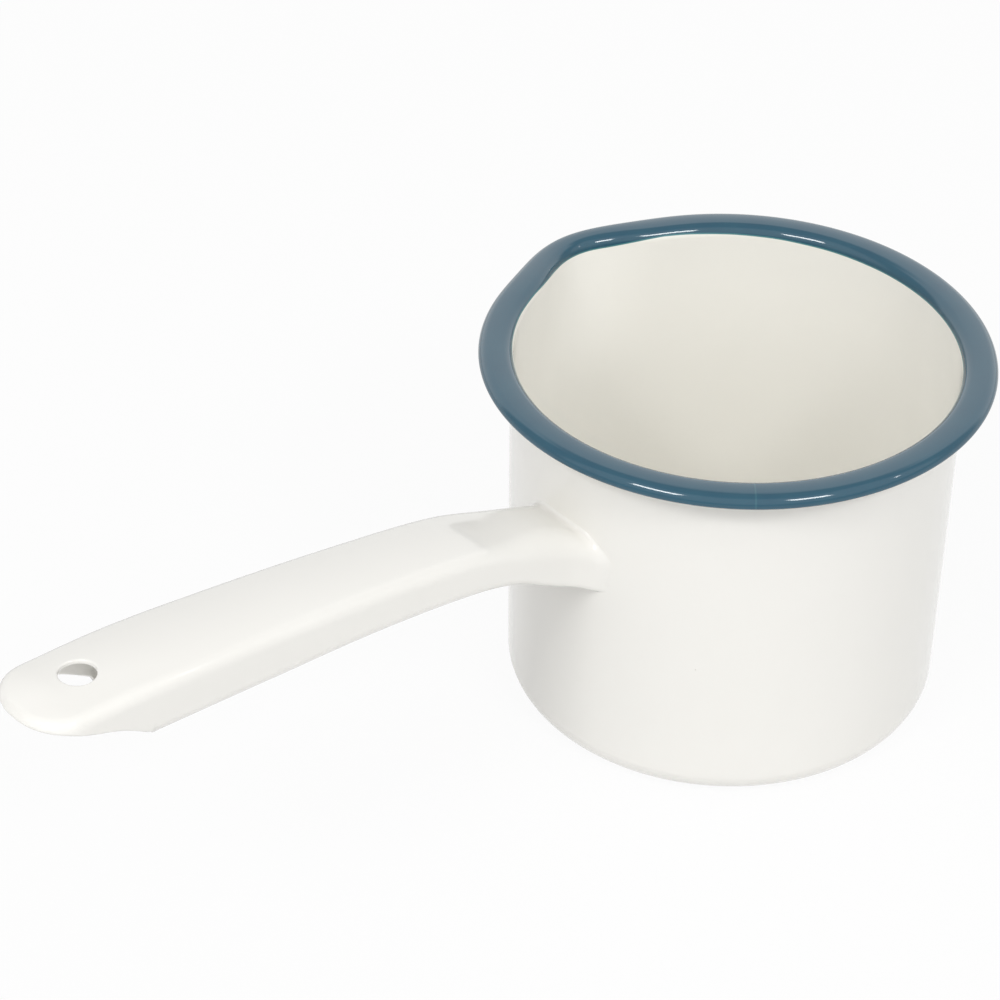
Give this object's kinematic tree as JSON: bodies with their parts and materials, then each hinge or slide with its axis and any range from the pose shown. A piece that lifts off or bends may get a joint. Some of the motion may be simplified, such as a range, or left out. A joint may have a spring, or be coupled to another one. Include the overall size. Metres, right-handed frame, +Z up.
{
  "type": "milk pan",
  "caption": "Straight-sided enamelled steel milk pan with a cream inside, a coloured rolled rim, a pouring spout and a long folded handle with a hanging hole.",
  "frame": {"origin": "centre of the base's flat underside", "axes": "+Z up along the pan's axis, handle along -X, pouring spout towards +Y"},
  "size_m": [0.3029, 0.1442, 0.1086],
  "materials": {
    "sheet_steel": "bare sheet under enamel",
    "weld_steel": "weld seam under enamel",
    "cream_enamel": "gloss",
    "white_enamel": "gloss",
    "blue_enamel": "gloss"
  },
  "bodies": {
    "root": {"pan_shell": "sheet_steel", "inner_enamel": "cream_enamel", "outer_enamel": "white_enamel", "rim_enamel": "blue_enamel", "handle_shell": "sheet_steel", "handle_weld": "weld_steel", "handle_enamel": "white_enamel"}
  },
  "joints": []
}
